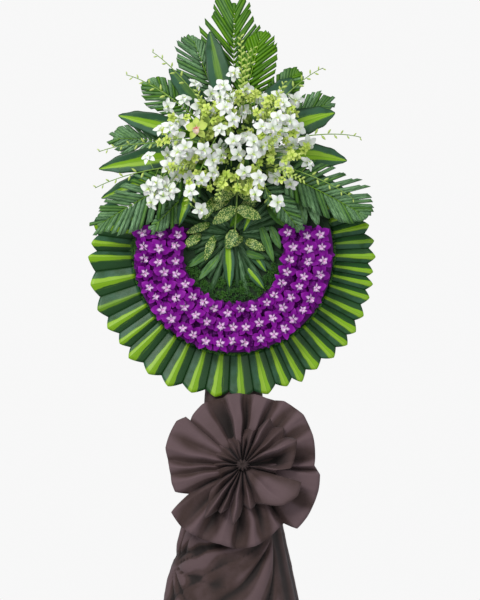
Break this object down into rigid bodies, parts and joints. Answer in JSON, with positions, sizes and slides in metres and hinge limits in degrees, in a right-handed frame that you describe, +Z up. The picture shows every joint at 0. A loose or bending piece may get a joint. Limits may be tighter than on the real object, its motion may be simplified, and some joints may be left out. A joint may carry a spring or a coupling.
{
  "type": "standing funeral wreath",
  "caption": "Round funeral wreath of orchids, palm fronds and folded leaves on a cloth-draped wooden tripod, with a gathered cloth bow at its neck.",
  "frame": {"origin": "on the floor, under the middle of the object's outline", "axes": "+Z up, the flowers face -Y, +X to the viewer's right"},
  "size_m": [0.8658, 0.5343, 1.9194],
  "materials": {
    "timber": "matte",
    "green_board": "matte",
    "dry_foam": "matte",
    "wet_foam": "matte",
    "brown_cloth": "matte",
    "striped_leaf": "satin",
    "palm_leaf": "satin",
    "speckled_leaf": "satin",
    "purple_petal": "satin",
    "white_petal": "satin",
    "green_petal": "satin"
  },
  "bodies": {
    "root": {"back_board": "green_board", "bow_back_folds": "brown_cloth", "bow_front_loops": "brown_cloth", "bow_knot": "brown_cloth", "broad_leaf_left": "striped_leaf", "broad_leaf_left_low": "striped_leaf", "broad_leaf_left_up": "striped_leaf", "broad_leaf_right": "striped_leaf", "broad_leaf_right_low": "striped_leaf", "broad_leaf_right_up": "striped_leaf", "broad_leaf_top": "striped_leaf", "broad_leaf_upper_left": "striped_leaf", "broad_leaf_upper_right": "striped_leaf", "foam_block": "wet_foam", "foam_disc": "dry_foam", "frond_inner_left": "palm_leaf", "frond_inner_right": "palm_leaf", "frond_left": "palm_leaf", "frond_left_low": "palm_leaf", "frond_left_up": "palm_leaf", "frond_right": "palm_leaf", "frond_right_low": "palm_leaf", "frond_right_up": "palm_leaf", "frond_top": "palm_leaf", "frond_upper_left": "palm_leaf", "frond_upper_right": "palm_leaf", "front_rail": "timber", "green_orchid": "green_petal", "head_block": "timber", "inner_dark_leaf": "striped_leaf", "inner_palm_strips": "palm_leaf", "inner_striped_leaf": "striped_leaf", "leg_back": "timber", "leg_front_left": "timber", "leg_front_right": "timber", "mast": "timber", "purple_orchids_bottom": "purple_petal", "purple_orchids_left": "purple_petal", "purple_orchids_lower_left": "purple_petal", "purple_orchids_lower_right": "purple_petal", "purple_orchids_right": "purple_petal", "ruff_left": "striped_leaf", "ruff_lower_left": "striped_leaf", "ruff_lower_right": "striped_leaf", "ruff_right": "striped_leaf", "skirt": "brown_cloth", "speckled_sprig": "speckled_leaf", "white_spray_down_left": "white_petal", "white_spray_down_right": "white_petal", "white_spray_front": "white_petal", "white_spray_front_left": "white_petal", "white_spray_front_right": "white_petal", "white_spray_left": "white_petal", "white_spray_left_low": "white_petal", "white_spray_left_up": "white_petal", "white_spray_right": "white_petal", "white_spray_right_low": "white_petal", "white_spray_top": "white_petal", "white_spray_upper_left": "white_petal", "white_spray_upper_right": "white_petal"}
  },
  "joints": []
}
